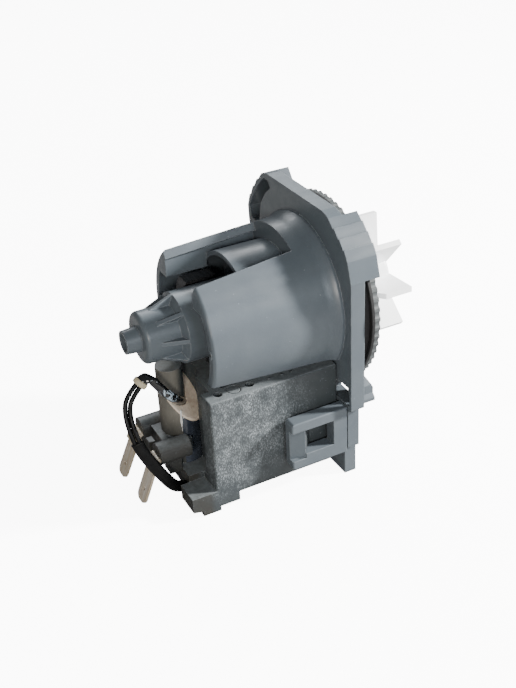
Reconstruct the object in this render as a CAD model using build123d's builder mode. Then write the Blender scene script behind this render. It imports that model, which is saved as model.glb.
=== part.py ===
"""Drain pump of a dishwasher: a plug-in motor unit with its stator block, rotor and impeller.

Millimetres, +Z up. X is the motor axis, +X towards the impeller, and -Y is the side
with the near thumb grip. The origin is on the motor axis at the flange's front face.
"""
from build123d import *
from math import atan2, cos, degrees, pi, radians, sin, sqrt
import os

os.makedirs("parts", exist_ok=True)

# Clearances shared by the fits
running_gap = 0.03        # radial, steel shaft in a ceramic bush
slip_gap = 0.3            # between parts that move past each other without touching
seat_gap = 0.05           # around a piece that is pushed into its seat

# Flange
flange_thickness = 4.75
flange_top = 32.8
flange_near = 29.9        # side edge on -Y
flange_far = 31.0         # side edge on +Y
flange_near_corner = -13.5     # where the top edge starts and ends
flange_far_corner = 20.5
flange_top_drop = 0.5     # shoulders beside the grips
skirt_top = -30.5         # below this the flange is narrower and thinner
skirt_bottom = -44.5
skirt_inset = 2.0
skirt_thickness = 4.1
foot_inset = 4.0
floor_z = -56.0           # what the pump stands on
edge_chamfer = 1.2
back_x = -flange_thickness

# Thumb grips at the two upper corners
near_grip_reach = 5.25    # how far each stands forward of the flange
far_grip_reach = 5.3
grip_wall = 3.6
near_grip_radius = 36.0
near_grip_angles = (37.8, 61.5)
near_grip_foot = 15.2     # where each grip's outer side runs down to
far_grip_radius = 40.2
far_grip_angles = (25.0, 52.0)
far_grip_heel = (35.6, 11.0)
far_grip_foot = 4.0
grip_facets = 4
grip_step = 0.6
pocket_inner = ((27.6, 13.0), (27.2, 16.0), (26.2, 20.6), (22.6, 25.5), (18.9, 28.5), (20.4, 30.5))
pocket_heel = (33.2, 13.0)
pocket_wall = 1.8
pocket_angles = (26.0, 53.0)
pocket_well_angles = (27.0, 49.0)
pocket_well_inner = 34.2
pocket_floor = 2.9        # what closes the pocket at the grip's front

# Body shell with its two wings
near_wing_inset = 1.7     # from the casing's rear to the end of each wing
far_wing_inset = 3.65
wing_rear_radius = 23.7
wing_front_radius = 25.3
wing_end_round = 1.0
shell_wall = 3.0
near_rail = (11.8, 11.9)  # inner side and underside of the rail along each edge of the slot
far_rail = (12.7, 10.6)
flare_length = 5.0
collar_radius = 26.6
collar_thickness = 0.9
slot_wall = 9.8           # solid front of the shell, behind the flange
slot_half_angle_rear = 35.8
slot_half_angle_front = 29.4
wing_bottom_rear = -10.8
wing_bottom_front = -13.9

# Rotor can, stepped, with the boss and spigot at its rear
chamber_radius = 17.2
can_wall = 2.45
can_gap = 0.55            # from the stator stack to the can's rear rim
can_pocket_depth = 8.0    # hollow in the can's rear face
can_rim = 1.4
tube_bore = 10.2
tube_wall = 1.1
tube_inset = 0.15         # from the casing's rear to the end of the rotor tube
tube_floor = 1.6
tube_cone = 1.3
boss_radius = 8.25
boss_length = 12.35
boss_round = 1.5
spigot_radius = 3.72
spigot_root_radius = 4.1
spigot_length = 4.6
spigot_bore = 2.9
spigot_bore_depth = 5.2
gusset_count = 8
gusset_phase = 4.0
gusset_length = 7.9
gusset_thickness = 1.3

# Front: rubber face seal, scalloped cover and what carries it
seal_thickness = 2.25
seal_inner = 24.3
seal_outer = 29.6
seal_edge = 0.25
hub_outer = 24.0
cover_radius = 31.0
cover_thickness = 2.7
scallop_count = 62
scallop_radius = 1.4
scallop_depth = 0.5
plug_length = 5.0
plug_wall = 2.6
carrier_wall = 1.8
cover_nose_radius = 9.0
cover_nose_length = 3.0
nose_round = 1.0
o_ring_section = 1.4
o_ring_inset = 1.6        # from the plug's rear end to the ring's groove

# Shaft, bearings, rotor
shaft_radius = 2.0
bush_wall = 1.6
bush_length = 5.0
mount_wall = 2.0
mount_margin = 0.3        # how much shorter the rubber seat is than its bush
washer_thickness = 0.8
washer_radius = 4.6
washer_gap = 0.1
magnet_length = 17.0
magnet_wall = 4.2
rotor_gap = 0.6

# Impeller and its lost-motion coupling
impeller_radius = 20.0
impeller_start = 9.3      # ahead of the flange's front face
vane_length = 14.5
vane_thickness = 1.8
vane_count = 8
vane_phase = 4.0
vane_cut = 5.0
impeller_hub_radius = 8.2
hub_round = 1.5
coupling_radius = 6.0
coupling_length = 6.0
driver_radius = 3.6
dog_angle = 58.0
stop_angle = 70.0
buffer_angle = 6.0
cap_thickness = 2.0
shaft_nose = 4.2          # how far the shaft runs on into the impeller's hub
bore_end_gap = 0.6

# Snap arms on the flange's sides
arm_length = 20.0
arm_thickness = 4.4
arm_top = -28.7
arm_bottom = -46.0
arm_offset = 5.8          # outer face beyond the casing's side
arm_corner = 1.2
arm_rail = 3.3            # height of the rail along the arm's top and bottom
arm_ramp = (2.0, 0.4)     # how far the bar between them lies back, at its end and at the window
arm_edge = 0.5
window_start = 5.1
window_length = 10.0
window_top = -32.1
window_bottom = -41.1
hinge_gap = 0.05
lug_inset = 2.4           # from the flange's side edge
lug_width = 5.6
lug_reach = 4.8
lug_top = -20.6
lug_bottom = -28.9
lug_slope = 2.8           # the top's fall towards the side edge
lug_nose = 2.0
lug_ledge = 1.1           # step that stands out below the lug's side
lug_ledge_top = -26.6
port_top = -21.5          # window in the flange beside the lug
port_bottom = -28.2
port_edge = 1.1
port_width = 12.4

# Stator casing
casing_length = 44.1
casing_half_width = 22.0
casing_top = -15.7
casing_bottom = -51.5
casing_front_gap = 0.3
casing_edge = 0.6
recess_outer = 15.3
recess_depth = 3.0
foot_rear = 8.4           # these are measured back from the casing's rear face
foot_front = -7.8
foot_top = -48.3
foot_base = -54.4
foot_slant = 4.5
pad_rear = 5.0
pad_front = -1.1
base_rear = 5.4
base_half_width = 13.0
base_top = -46.0
base_bottom = -53.0
catch_height = 4.5
catch_length = 3.9
catch_margin = 0.5
mark_inset = 4.0          # round marks on the casing's top, from its side
mark_radius = 2.3
mark_spacing = 5.3
mark_from_rear = 4.6
mark_hole_radius = 1.4
mark_depth = 1.4
mark_groove = 0.35

# Column at the rear, cut off at a slant and capped with resin
column_back = 1.1         # behind the casing's rear face
column_radius = 6.6
cap_level = -21.6
cap_slope_x = -0.86
cap_slope_y = 1.09
cap_layer = 0.6
pillar_back = 3.2
pillar_y = 1.0
pillar_radius = 4.2
pillar_top = -12.7
pillar_bottom = -29.0
potting_core = 5.0
potting_middle = -60.0    # direction of the part of the column that is resin, from +X
potting_half = 48.0

# Stator core, bobbins and windings
stack_inset = 7.0         # from the casing's rear to the stack
stack_length = 10.1
stack_gap_half = 5.4
stack_top = 11.15         # the pole arcs end level, above and below the tube
pole_radius = 15.2
leg_inner = 8.2
leg_outer = 15.2
leg_bottom = -41.0
yoke_height = 8.0
bobbin_top = -19.6
bobbin_wall = 0.7
bobbin_flange = 1.0
winding_build = 1.4

# Terminals
terminal_y = 8.0
boss_half_width = 3.6
boss_top = -34.2
boss_bottom = -41.0
boss_corner = 3.1
near_boss_rear = 13.2     # these are measured back from the casing's rear face
far_boss_rear = 12.7
boss_front = 2.7
bridge_rear = 9.9
bridge_top = -35.6
bridge_bottom = -40.2
lump_size = (4.2, 4.6, 4.4)
lump_rear = 9.5
lump_y = -5.6
blade_width = 6.3
blade_thickness = 0.8
blade_exit = -38.3
blade_overhang = 0.9
blade_bend = 1.2
blade_tip_round = 2.2
blade_hole_radius = 0.8
blade_hole_inset = 4.6
near_blade_droop = 67.3   # degrees below horizontal
near_blade_length = 15.9
far_blade_droop = 65.3
far_blade_length = 16.6
blade_seat = 5.0
collar_half_width = 3.6
collar_height = 2.6
collar_start = 1.6
collar_length = 2.4

# Twin lead, its sleeve and the switch that it joins
strand_radius = 0.75
sleeve_radius = 1.5
band_radius = 2.0
band_length = 1.5
band_overrun = 0.35
cutout_radius = 2.4
cutout_length = 9.0
cutout_top = -33.0

# Stations along X that follow from the sizes above, from the casing's rear forward and back
casing_rear_x = back_x - casing_length
casing_front_x = back_x - casing_front_gap
near_wing_x = casing_rear_x + near_wing_inset
far_wing_x = casing_rear_x + far_wing_inset
slot_wall_x = back_x - slot_wall
stack_rear_x = casing_rear_x + stack_inset
stack_front_x = stack_rear_x + stack_length
can_outer = chamber_radius + can_wall
can_step_x = stack_front_x + can_gap
can_pocket_x = can_step_x + can_pocket_depth
chamber_end_x = can_pocket_x + can_wall
tube_outer = tube_bore + tube_wall
tube_end_x = casing_rear_x + tube_inset
tube_start_x = tube_end_x + tube_floor
boss_end_x = tube_end_x - boss_length
spigot_end_x = boss_end_x - spigot_length
cover_back_x = seal_thickness
cover_front_x = cover_back_x + cover_thickness
bush_radius = shaft_radius + running_gap + bush_wall
mount_radius = bush_radius + mount_wall
magnet_radius = tube_bore - rotor_gap
magnet_bore = magnet_radius - magnet_wall
rear_washer_x = tube_start_x + slip_gap
magnet_rear_x = rear_washer_x + washer_thickness + seat_gap
magnet_front_x = magnet_rear_x + magnet_length
front_washer_x = magnet_front_x + seat_gap
rear_bush_x = rear_washer_x - washer_gap - bush_length
front_bush_x = front_washer_x + washer_thickness + washer_gap
pocket_x = rear_bush_x - slip_gap
arm_face = casing_half_width + arm_offset
nose_x = cover_front_x + cover_nose_length
impeller_end_x = impeller_start + vane_length
chamber_start_x = impeller_start + cap_thickness
coupling_end_x = chamber_start_x + coupling_length
shaft_end_x = coupling_end_x + shaft_nose
column_centre_x = casing_rear_x - column_back
pillar_centre_x = casing_rear_x - pillar_back
near_boss_x = casing_rear_x - near_boss_rear
far_boss_x = casing_rear_x - far_boss_rear
base_rear_x = casing_rear_x - base_rear


def radial_plane(angle):
    """Plane through the motor axis; its local y points outward, at this angle up from -Y."""
    a = radians(angle)
    return Plane(origin=(0, 0, 0), x_dir=(1, 0, 0), z_dir=(0, -sin(a), -cos(a)))


def polar(radius, angle, side=-1):
    """Point of the YZ plane at this angle up from the side that side names (-1 is -Y)."""
    a = radians(angle)
    return (side * radius * cos(a), radius * sin(a))


def knurled_arc(radius, angles, side):
    """Saw-tooth facets of a thumb grip, from the lower angle to the upper one."""
    low, high = angles
    turn = (high - low) / grip_facets
    points = []
    for i in range(grip_facets):
        points.append(polar(radius - grip_step, low + i * turn, side))
        points.append(polar(radius, low + (i + 1) * turn, side))
    return points


def arc_points(radius, angles, side):
    """Points along an arc of the YZ plane, from the lower angle to the upper one."""
    low, high = angles
    steps = 8
    return [polar(radius, low + i * (high - low) / steps, side) for i in range(steps + 1)]


def barrel(start, end, outer, inner=0.0, mode=Mode.ADD):
    """Round length of the piece being built, about the motor axis."""
    with BuildSketch(Plane.YZ.offset(start)) as face:
        Circle(outer)
        if inner > 0:
            Circle(inner, mode=Mode.SUBTRACT)
    extrude(face.sketch, amount=end - start, mode=mode)


def wedge(start, end, outer, inner, middle, half, mode=Mode.ADD):
    """Sector of a ring about the motor axis; angles go from +Y up."""
    reach = 3 * outer
    low = radians(middle - half)
    high = radians(middle + half)
    with BuildSketch(Plane.YZ.offset(start)) as face:
        Circle(outer)
        Circle(inner, mode=Mode.SUBTRACT)
        Polygon((0, 0), (reach * cos(low), reach * sin(low)), (reach * cos(high), reach * sin(high)),
                align=None, mode=Mode.INTERSECT)
    extrude(face.sketch, amount=end - start, mode=mode)


def block(x_range, y_range, z_range, mode=Mode.ADD):
    """Straight-sided block between these limits."""
    with BuildSketch(Plane.XY.offset(z_range[0])) as face:
        Polygon((x_range[0], y_range[0]), (x_range[1], y_range[0]), (x_range[1], y_range[1]),
                (x_range[0], y_range[1]), align=None)
    extrude(face.sketch, amount=z_range[1] - z_range[0], mode=mode)


def keep(part, name):
    """Names the finished piece and writes it."""
    part.part.label = name
    export_step(part.part, f"parts/{name}.step")


# Pump housing: body shell, wings, can, flange and grips in one moulding
near_heel = (-flange_near, near_grip_foot)
near_knurl = knurled_arc(near_grip_radius, near_grip_angles, -1)
far_knurl = knurled_arc(far_grip_radius, far_grip_angles, 1)
shell_inner_rear = wing_rear_radius - shell_wall
shell_inner_front = wing_front_radius - shell_wall
tool_reach = 2 * collar_radius

# Hollow of the body: all that lies inside the shell except the rails along the slot's edges
with BuildPart() as body_hollow:
    with BuildSketch(Plane.XZ):
        Polygon((near_wing_x - 1, 0), (near_wing_x - 1, shell_inner_rear),
                (slot_wall_x, shell_inner_front), (slot_wall_x, 0), align=None)
    revolve(axis=Axis.X)
    for side, (rail_side, rail_bottom) in ((-1, near_rail), (1, far_rail)):
        block((near_wing_x - 1, slot_wall_x), sorted((side * rail_side, side * tool_reach)),
              (rail_bottom, tool_reach), mode=Mode.SUBTRACT)

# What is taken off the far wing, which ends a little earlier than the near one
with BuildPart() as far_wing_cut:
    with BuildSketch(Plane.XZ):
        with BuildLine():
            wing_taper = (wing_front_radius - wing_rear_radius) / (back_x - flare_length - near_wing_x)
            round_start = far_wing_x + wing_end_round
            round_radius = wing_rear_radius + wing_taper * (round_start - near_wing_x)
            round_end = (far_wing_x, round_radius - wing_end_round)
            Polyline((far_wing_x, 0), (near_wing_x - 1, 0), (near_wing_x - 1, tool_reach),
                     (round_start, tool_reach), (round_start, round_radius))
            TangentArc((round_start, round_radius), round_end, tangent=(-1, 0))
            Line(round_end, (far_wing_x, 0))
        make_face()
    revolve(axis=Axis.X)
    block((near_wing_x - 1, slot_wall_x), (-tool_reach, 0), (-tool_reach, tool_reach), mode=Mode.SUBTRACT)

with BuildPart() as pump_housing:
    with BuildSketch(Plane.XZ):
        with BuildLine():
            flare_start = (back_x - flare_length, wing_front_radius)
            flare_end = (back_x - collar_thickness, collar_radius)
            Polyline((back_x, 0), (near_wing_x, 0), (near_wing_x, wing_rear_radius), flare_start)
            TangentArc(flare_start, flare_end, tangent=(1, 0.02))
            Polyline(flare_end, (back_x, collar_radius), (back_x, 0))
        make_face()
    revolve(axis=Axis.X)
    rear_rim = pump_housing.edges().filter_by(GeomType.CIRCLE).sort_by(Axis.X)[0]
    fillet(rear_rim, radius=wing_end_round)
    add(far_wing_cut.part, mode=Mode.SUBTRACT)
    add(body_hollow.part, mode=Mode.SUBTRACT)

    # Open slot on top, its sides radial and a little closer at the front
    slot_reach = collar_radius * 1.6
    with BuildSketch(Plane.YZ.offset(near_wing_x - 1)):
        a = slot_half_angle_rear
        Polygon((0, 0), (slot_reach * sin(radians(a)), slot_reach * cos(radians(a))),
                (-slot_reach * sin(radians(a)), slot_reach * cos(radians(a))), align=None)
    with BuildSketch(Plane.YZ.offset(slot_wall_x)):
        b = slot_half_angle_front
        Polygon((0, 0), (slot_reach * sin(radians(b)), slot_reach * cos(radians(b))),
                (-slot_reach * sin(radians(b)), slot_reach * cos(radians(b))), align=None)
    loft(ruled=True, mode=Mode.SUBTRACT)

    # Everything of the shell below the wings' lower edges makes way for the casing
    with BuildSketch(Plane.XZ):
        Polygon((near_wing_x - 1, wing_bottom_rear), (back_x, wing_bottom_front),
                (back_x, -tool_reach), (near_wing_x - 1, -tool_reach), align=None)
    extrude(amount=tool_reach, both=True, mode=Mode.SUBTRACT)

    # Can, rotor tube, rear boss and spigot
    with BuildSketch(Plane.XZ):
        Polygon((back_x, 0), (back_x, can_outer), (can_step_x, can_outer), (can_step_x, tube_outer),
                (tube_end_x, tube_outer), (tube_end_x - tube_cone, boss_radius), (boss_end_x, boss_radius),
                (boss_end_x, spigot_root_radius), (spigot_end_x, spigot_radius), (spigot_end_x, 0),
                align=None)
    revolve(axis=Axis.X)
    barrel(can_step_x, can_pocket_x, can_outer - can_rim, tube_outer, mode=Mode.SUBTRACT)
    boss_rim = [e for e in pump_housing.edges().filter_by(GeomType.CIRCLE)
                if abs(e.radius - boss_radius) < 1e-3 and abs(e.center().X - boss_end_x) < 1e-3]
    fillet(boss_rim, radius=boss_round)
    for i in range(gusset_count):
        with BuildSketch(radial_plane(gusset_phase + i * 360 / gusset_count)):
            Polygon((tube_end_x - gusset_length, boss_radius - 1), (tube_end_x - gusset_length, boss_radius),
                    (tube_end_x, tube_outer), (tube_end_x, boss_radius - 1), align=None)
        extrude(amount=gusset_thickness / 2, both=True)

    # Flange plate
    with BuildSketch(Plane.YZ.offset(back_x)):
        with BuildLine():
            near_shoulder = (flange_near_corner - 2 * edge_chamfer, flange_top - flange_top_drop)
            far_shoulder = (flange_far_corner + 2 * edge_chamfer, flange_top - flange_top_drop)
            Polyline((-flange_near, skirt_top + edge_chamfer), near_heel,
                     *near_knurl, near_shoulder, (flange_near_corner, flange_top),
                     (flange_far_corner, flange_top), far_shoulder,
                     *reversed(far_knurl), far_grip_heel, (flange_far, far_grip_foot),
                     (flange_far, skirt_top + edge_chamfer), (flange_far - skirt_inset, skirt_top),
                     (-flange_near + skirt_inset, skirt_top), (-flange_near, skirt_top + edge_chamfer))
        make_face()
    extrude(amount=flange_thickness)
    with BuildSketch(Plane.YZ.offset(back_x)):
        near_skirt = -flange_near + skirt_inset
        far_skirt = flange_far - skirt_inset
        near_foot = -flange_near + foot_inset
        far_foot = flange_far - foot_inset
        Polygon((near_skirt, skirt_top), (far_skirt, skirt_top), (far_skirt, skirt_bottom),
                (far_foot, skirt_bottom - edge_chamfer), (far_foot, floor_z), (near_foot, floor_z),
                (near_foot, skirt_bottom - edge_chamfer), (near_skirt, skirt_bottom), align=None)
    extrude(amount=skirt_thickness)

    # Thumb grips stand forward of the flange
    near_foot_angle = degrees(atan2(near_grip_foot, flange_near))
    near_root = arc_points(near_grip_radius - grip_wall, (near_foot_angle, near_grip_angles[1]), -1)
    far_root = arc_points(cover_radius + slip_gap + grip_step, far_grip_angles, 1)
    for outer, root, reach in (((near_heel, *near_knurl), near_root, near_grip_reach),
                               (far_knurl, far_root, far_grip_reach)):
        with BuildSketch(Plane.YZ.offset(back_x)):
            Polygon(*outer, *reversed(root), align=None)
        extrude(amount=flange_thickness + reach)

    # Pocket behind the far grip: through the flange, then a narrower well into the grip
    pocket_outer_radius = far_grip_radius - pocket_wall
    with BuildSketch(Plane.YZ.offset(back_x)):
        Polygon(*pocket_inner, *reversed(arc_points(pocket_outer_radius, pocket_angles, 1)), pocket_heel,
                align=None)
    extrude(amount=flange_thickness, mode=Mode.SUBTRACT)
    with BuildSketch(Plane.YZ.offset(back_x)):
        Polygon(*arc_points(pocket_outer_radius, pocket_well_angles, 1),
                *reversed(arc_points(pocket_well_inner, pocket_well_angles, 1)), align=None)
    extrude(amount=flange_thickness + far_grip_reach - pocket_floor, mode=Mode.SUBTRACT)

    # Ring on the flange's front that carries the seal and the cover
    barrel(0, seal_thickness, hub_outer)
    barrel(chamber_end_x, seal_thickness, chamber_radius, mode=Mode.SUBTRACT)
    barrel(tube_start_x, chamber_end_x + 1, tube_bore, mode=Mode.SUBTRACT)
    barrel(pocket_x, tube_start_x + 1, mount_radius, mode=Mode.SUBTRACT)
    barrel(spigot_end_x, spigot_end_x + spigot_bore_depth, spigot_bore, mode=Mode.SUBTRACT)

    # Window beside the lug, and the lug itself
    block((back_x - 1, 1), (-flange_near + port_edge, -flange_near + port_edge + port_width),
          (port_bottom, port_top), mode=Mode.SUBTRACT)
    lug_side = -flange_near + lug_inset
    lug_face = Plane.XZ.offset(-lug_side - lug_width)
    with BuildSketch(lug_face):
        Polygon((-1, lug_bottom), (-1, lug_top), (lug_reach - lug_nose, lug_top),
                (lug_reach, lug_top - 2 * lug_nose), (lug_reach, lug_bottom), align=None)
    extrude(amount=lug_width)
    with BuildSketch(Plane.YZ):
        Polygon((lug_side - 1, lug_top + 1), (lug_side - 1, lug_top - lug_slope - 1),
                (lug_side, lug_top - lug_slope), (lug_side + lug_slope + 1, lug_top + 1), align=None)
    extrude(amount=lug_reach, mode=Mode.SUBTRACT)
    with BuildSketch(Plane.YZ):
        Polygon((lug_side, lug_ledge_top), (lug_side - lug_ledge, lug_ledge_top - lug_ledge),
                (lug_side - lug_ledge, lug_bottom), (lug_side, lug_bottom), align=None)
    extrude(amount=lug_reach)

keep(pump_housing, "pump_housing")

# Snap arms, one on each side of the flange, with a window that drops over the casing's catch
for side, name in ((-1, "latch_arm_near"), (1, "latch_arm_far")):
    arm_end = back_x - arm_length
    with BuildPart() as latch_arm:
        with BuildSketch(Plane.XZ.offset(-side * (arm_face - arm_thickness))):
            Polygon((back_x - hinge_gap, arm_top), (arm_end, arm_top), (arm_end, arm_bottom),
                    (back_x - hinge_gap, arm_bottom), align=None)
            window = (back_x - window_start, back_x - window_start - window_length)
            Polygon((window[0], window_top), (window[1], window_top), (window[1], window_bottom),
                    (window[0], window_bottom), align=None, mode=Mode.SUBTRACT)
        extrude(amount=-side * arm_thickness)
        end_corners = latch_arm.edges().filter_by(Axis.Y).group_by(Axis.X)[0]
        fillet(end_corners, radius=arm_corner)
        outer_face = latch_arm.faces().sort_by(Axis.Y)[0 if side < 0 else -1]
        fillet(outer_face.outer_wire().edges(), radius=arm_edge)
        with BuildSketch(Plane.XY.offset(arm_bottom + arm_rail)):
            Polygon((arm_end, side * (arm_face - arm_ramp[0])), (window[1], side * (arm_face - arm_ramp[1])),
                    (window[1], side * (arm_face + 1)), (arm_end, side * (arm_face + 1)), align=None)
        extrude(amount=arm_top - arm_bottom - 2 * arm_rail, mode=Mode.SUBTRACT)
    keep(latch_arm, name)

# Rubber face seal
with BuildPart() as face_seal:
    barrel(0, seal_thickness, seal_outer, seal_inner)
    fillet(face_seal.edges().filter_by(GeomType.CIRCLE).group_by(SortBy.RADIUS)[-1], radius=seal_edge)
keep(face_seal, "face_seal")

# Front cover with its scalloped rim, its plug in the can and the front bearing's carrier
plug_end_x = cover_back_x - plug_length
groove_x = plug_end_x + o_ring_inset
groove_radius = chamber_radius - o_ring_section
with BuildPart() as front_cover:
    with BuildSketch(Plane.YZ.offset(cover_back_x)):
        Circle(cover_radius)
        with PolarLocations(cover_radius + scallop_radius - scallop_depth, scallop_count):
            Circle(scallop_radius, mode=Mode.SUBTRACT)
    extrude(amount=cover_thickness)
    barrel(plug_end_x, cover_back_x, chamber_radius - seat_gap, chamber_radius - seat_gap - plug_wall)
    barrel(front_bush_x, cover_back_x, mount_radius + carrier_wall)
    barrel(cover_front_x, nose_x, cover_nose_radius)
    fillet(front_cover.faces().sort_by(Axis.X)[-1].edges(), radius=nose_round)
    barrel(groove_x, groove_x + o_ring_section, chamber_radius, groove_radius, mode=Mode.SUBTRACT)
    barrel(front_bush_x, front_bush_x + bush_length, mount_radius, mode=Mode.SUBTRACT)
    barrel(front_bush_x, nose_x, shaft_radius + slip_gap, mode=Mode.SUBTRACT)
keep(front_cover, "front_cover")

with BuildPart() as cover_o_ring:
    section = o_ring_section / 2
    with BuildSketch(Plane.XZ):
        with Locations((groove_x + section, chamber_radius - section)):
            Circle(section - seat_gap)
    revolve(axis=Axis.X)
keep(cover_o_ring, "cover_o_ring")

# Bearings: a ceramic bush in a rubber seat at each end
for start, name in ((rear_bush_x, "rear_bearing"), (front_bush_x, "front_bearing")):
    with BuildPart() as bush:
        barrel(start, start + bush_length, bush_radius, shaft_radius + running_gap)
    keep(bush, name)
    with BuildPart() as bush_seat:
        barrel(start + mount_margin, start + bush_length - mount_margin,
               mount_radius - seat_gap, bush_radius + seat_gap)
    keep(bush_seat, name + "_mount")

# Rotor: shaft, carrier sleeve, magnet and a thrust washer at each end
with BuildPart() as shaft:
    barrel(rear_bush_x, shaft_end_x, shaft_radius)
    chamfer(shaft.edges().filter_by(GeomType.CIRCLE), length=0.3)
keep(shaft, "shaft")

with BuildPart() as rotor_sleeve:
    barrel(magnet_rear_x, magnet_front_x, magnet_bore - seat_gap, shaft_radius + seat_gap)
keep(rotor_sleeve, "rotor_sleeve")

with BuildPart() as rotor_magnet:
    barrel(magnet_rear_x, magnet_front_x, magnet_radius, magnet_bore)
    chamfer(rotor_magnet.edges().filter_by(GeomType.CIRCLE).group_by(SortBy.RADIUS)[-1], length=0.4)
keep(rotor_magnet, "rotor_magnet")

for start, name in ((rear_washer_x, "rear_thrust_washer"), (front_washer_x, "front_thrust_washer")):
    with BuildPart() as washer:
        barrel(start, start + washer_thickness, washer_radius, shaft_radius + seat_gap)
    keep(washer, name)

# Coupling: a dog on the shaft turns freely inside the impeller's hub until it meets the stop
dog_reach = coupling_radius - slip_gap
dog_start_x = chamber_start_x + slip_gap
dog_end_x = coupling_end_x - slip_gap
with BuildPart() as coupling_driver:
    barrel(dog_start_x, dog_end_x, driver_radius, shaft_radius + seat_gap)
    wedge(dog_start_x, dog_end_x, dog_reach, driver_radius - slip_gap, 90, dog_angle / 2)
keep(coupling_driver, "coupling_driver")

with BuildPart() as coupling_buffer:
    pad_half = buffer_angle / 2
    pad_middle = dog_angle / 2 + pad_half
    for middle in (90 - pad_middle, 90 + pad_middle):
        wedge(dog_start_x, dog_end_x, dog_reach, driver_radius + seat_gap, middle, pad_half)
keep(coupling_buffer, "coupling_buffer")

# Impeller: a hub with straight radial vanes
with BuildPart() as impeller:
    barrel(impeller_start, impeller_end_x, impeller_hub_radius)
    fillet(impeller.faces().sort_by(Axis.X)[-1].edges(), radius=hub_round)
    for i in range(vane_count):
        with BuildSketch(radial_plane(vane_phase + i * 360 / vane_count)):
            Polygon((impeller_start, impeller_hub_radius - 1), (impeller_start, impeller_hub_radius + vane_cut),
                    (impeller_start + vane_cut, impeller_radius), (impeller_end_x, impeller_radius),
                    (impeller_end_x, impeller_hub_radius - 1), align=None)
        extrude(amount=vane_thickness / 2, both=True)
    barrel(impeller_start, coupling_end_x, coupling_radius, mode=Mode.SUBTRACT)
    barrel(coupling_end_x, shaft_end_x + bore_end_gap, shaft_radius + running_gap, mode=Mode.SUBTRACT)
    wedge(chamber_start_x, coupling_end_x, coupling_radius, driver_radius + slip_gap,
          -90, stop_angle / 2)
keep(impeller, "impeller")

with BuildPart() as coupling_cap:
    barrel(impeller_start, chamber_start_x, coupling_radius - seat_gap, shaft_radius + running_gap)
keep(coupling_cap, "coupling_cap")

# Stator poles: each pole arc hugs the rotor tube and runs down as a leg into the casing
for side, name in ((-1, "stator_pole_near"), (1, "stator_pole_far")):
    with BuildPart() as stator_pole:
        with BuildSketch(Plane.YZ.offset(stack_rear_x)):
            Circle(pole_radius)
            Polygon((side * stack_gap_half, stack_top), (side * pole_radius, stack_top),
                    (side * pole_radius, -stack_top), (side * stack_gap_half, -stack_top),
                    align=None, mode=Mode.INTERSECT)
            Polygon((side * leg_inner, 0), (side * leg_outer, 0),
                    (side * leg_outer, leg_bottom), (side * leg_inner, leg_bottom), align=None)
            Circle(tube_outer + slip_gap, mode=Mode.SUBTRACT)
        extrude(amount=stack_length)
    keep(stator_pole, name)

with BuildPart() as stator_yoke:
    block((stack_rear_x, stack_front_x), (-leg_outer, leg_outer), (leg_bottom - yoke_height, leg_bottom))
keep(stator_yoke, "stator_yoke")

# A bobbin and its winding round each leg
coil_y = (leg_inner + leg_outer) / 2
coil_x = (stack_rear_x + stack_front_x) / 2
tube_half_x = stack_length / 2 + seat_gap + bobbin_wall
tube_half_y = (leg_outer - leg_inner) / 2 + seat_gap + bobbin_wall
coil_half_x = tube_half_x + winding_build
coil_half_y = tube_half_y + winding_build
bobbin_bottom = leg_bottom + seat_gap


def frame_tube(centre_y, z_range, outer, inner):
    """Rectangular tube round a leg; outer and inner are half sizes along X and Y."""
    block((coil_x - outer[0], coil_x + outer[0]), (centre_y - outer[1], centre_y + outer[1]), z_range)
    block((coil_x - inner[0], coil_x + inner[0]), (centre_y - inner[1], centre_y + inner[1]), z_range,
          mode=Mode.SUBTRACT)


for side, name in ((-1, "near"), (1, "far")):
    leg_hole = (tube_half_x - bobbin_wall, tube_half_y - bobbin_wall)
    with BuildPart() as coil_bobbin:
        y = side * coil_y
        block((coil_x - tube_half_x, coil_x + tube_half_x), (y - tube_half_y, y + tube_half_y),
              (bobbin_bottom, bobbin_top))
        for z in (bobbin_bottom, bobbin_top - bobbin_flange):
            block((coil_x - coil_half_x, coil_x + coil_half_x), (y - coil_half_y, y + coil_half_y),
                  (z, z + bobbin_flange))
        block((coil_x - leg_hole[0], coil_x + leg_hole[0]), (y - leg_hole[1], y + leg_hole[1]),
              (bobbin_bottom, bobbin_top), mode=Mode.SUBTRACT)
    keep(coil_bobbin, "coil_bobbin_" + name)
    with BuildPart() as coil_winding:
        frame_tube(side * coil_y,
                   (bobbin_bottom + bobbin_flange + seat_gap, bobbin_top - bobbin_flange - seat_gap),
                   (coil_half_x, coil_half_y), (tube_half_x + seat_gap, tube_half_y + seat_gap))
    keep(coil_winding, "coil_winding_" + name)

# Resin: the dark filling of the rear column and the pale leaf that caps it
leaf_plane = Plane(origin=(column_centre_x, 0, cap_level), z_dir=(-cap_slope_x, -cap_slope_y, 1))
under_leaf = leaf_plane.offset(-cap_layer)
column_bottom = foot_top
column_height = -column_bottom


def column_solid(radius, plane):
    """Round column from its foot up to the slanted plane."""
    with BuildPart() as column:
        with BuildSketch(Plane.XY.offset(column_bottom)):
            with Locations((column_centre_x, 0)):
                Circle(radius)
        extrude(amount=column_height)
        split(bisect_by=plane, keep=Keep.BOTTOM)
    return column.part


def resin_sector(radius, core, height):
    """The column's resin side, with the core that runs inside the whole column."""
    low = radians(potting_middle - potting_half)
    high = radians(potting_middle + potting_half)
    reach = 3 * radius
    with BuildPart() as resin:
        with BuildSketch(Plane.XY.offset(base_top)):
            with Locations((column_centre_x, 0)):
                Circle(radius)
                Polygon((0, 0), (reach * cos(low), reach * sin(low)), (reach * cos(high), reach * sin(high)),
                        align=None, mode=Mode.INTERSECT)
                Circle(core)
        extrude(amount=height)
    return resin.part


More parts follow.
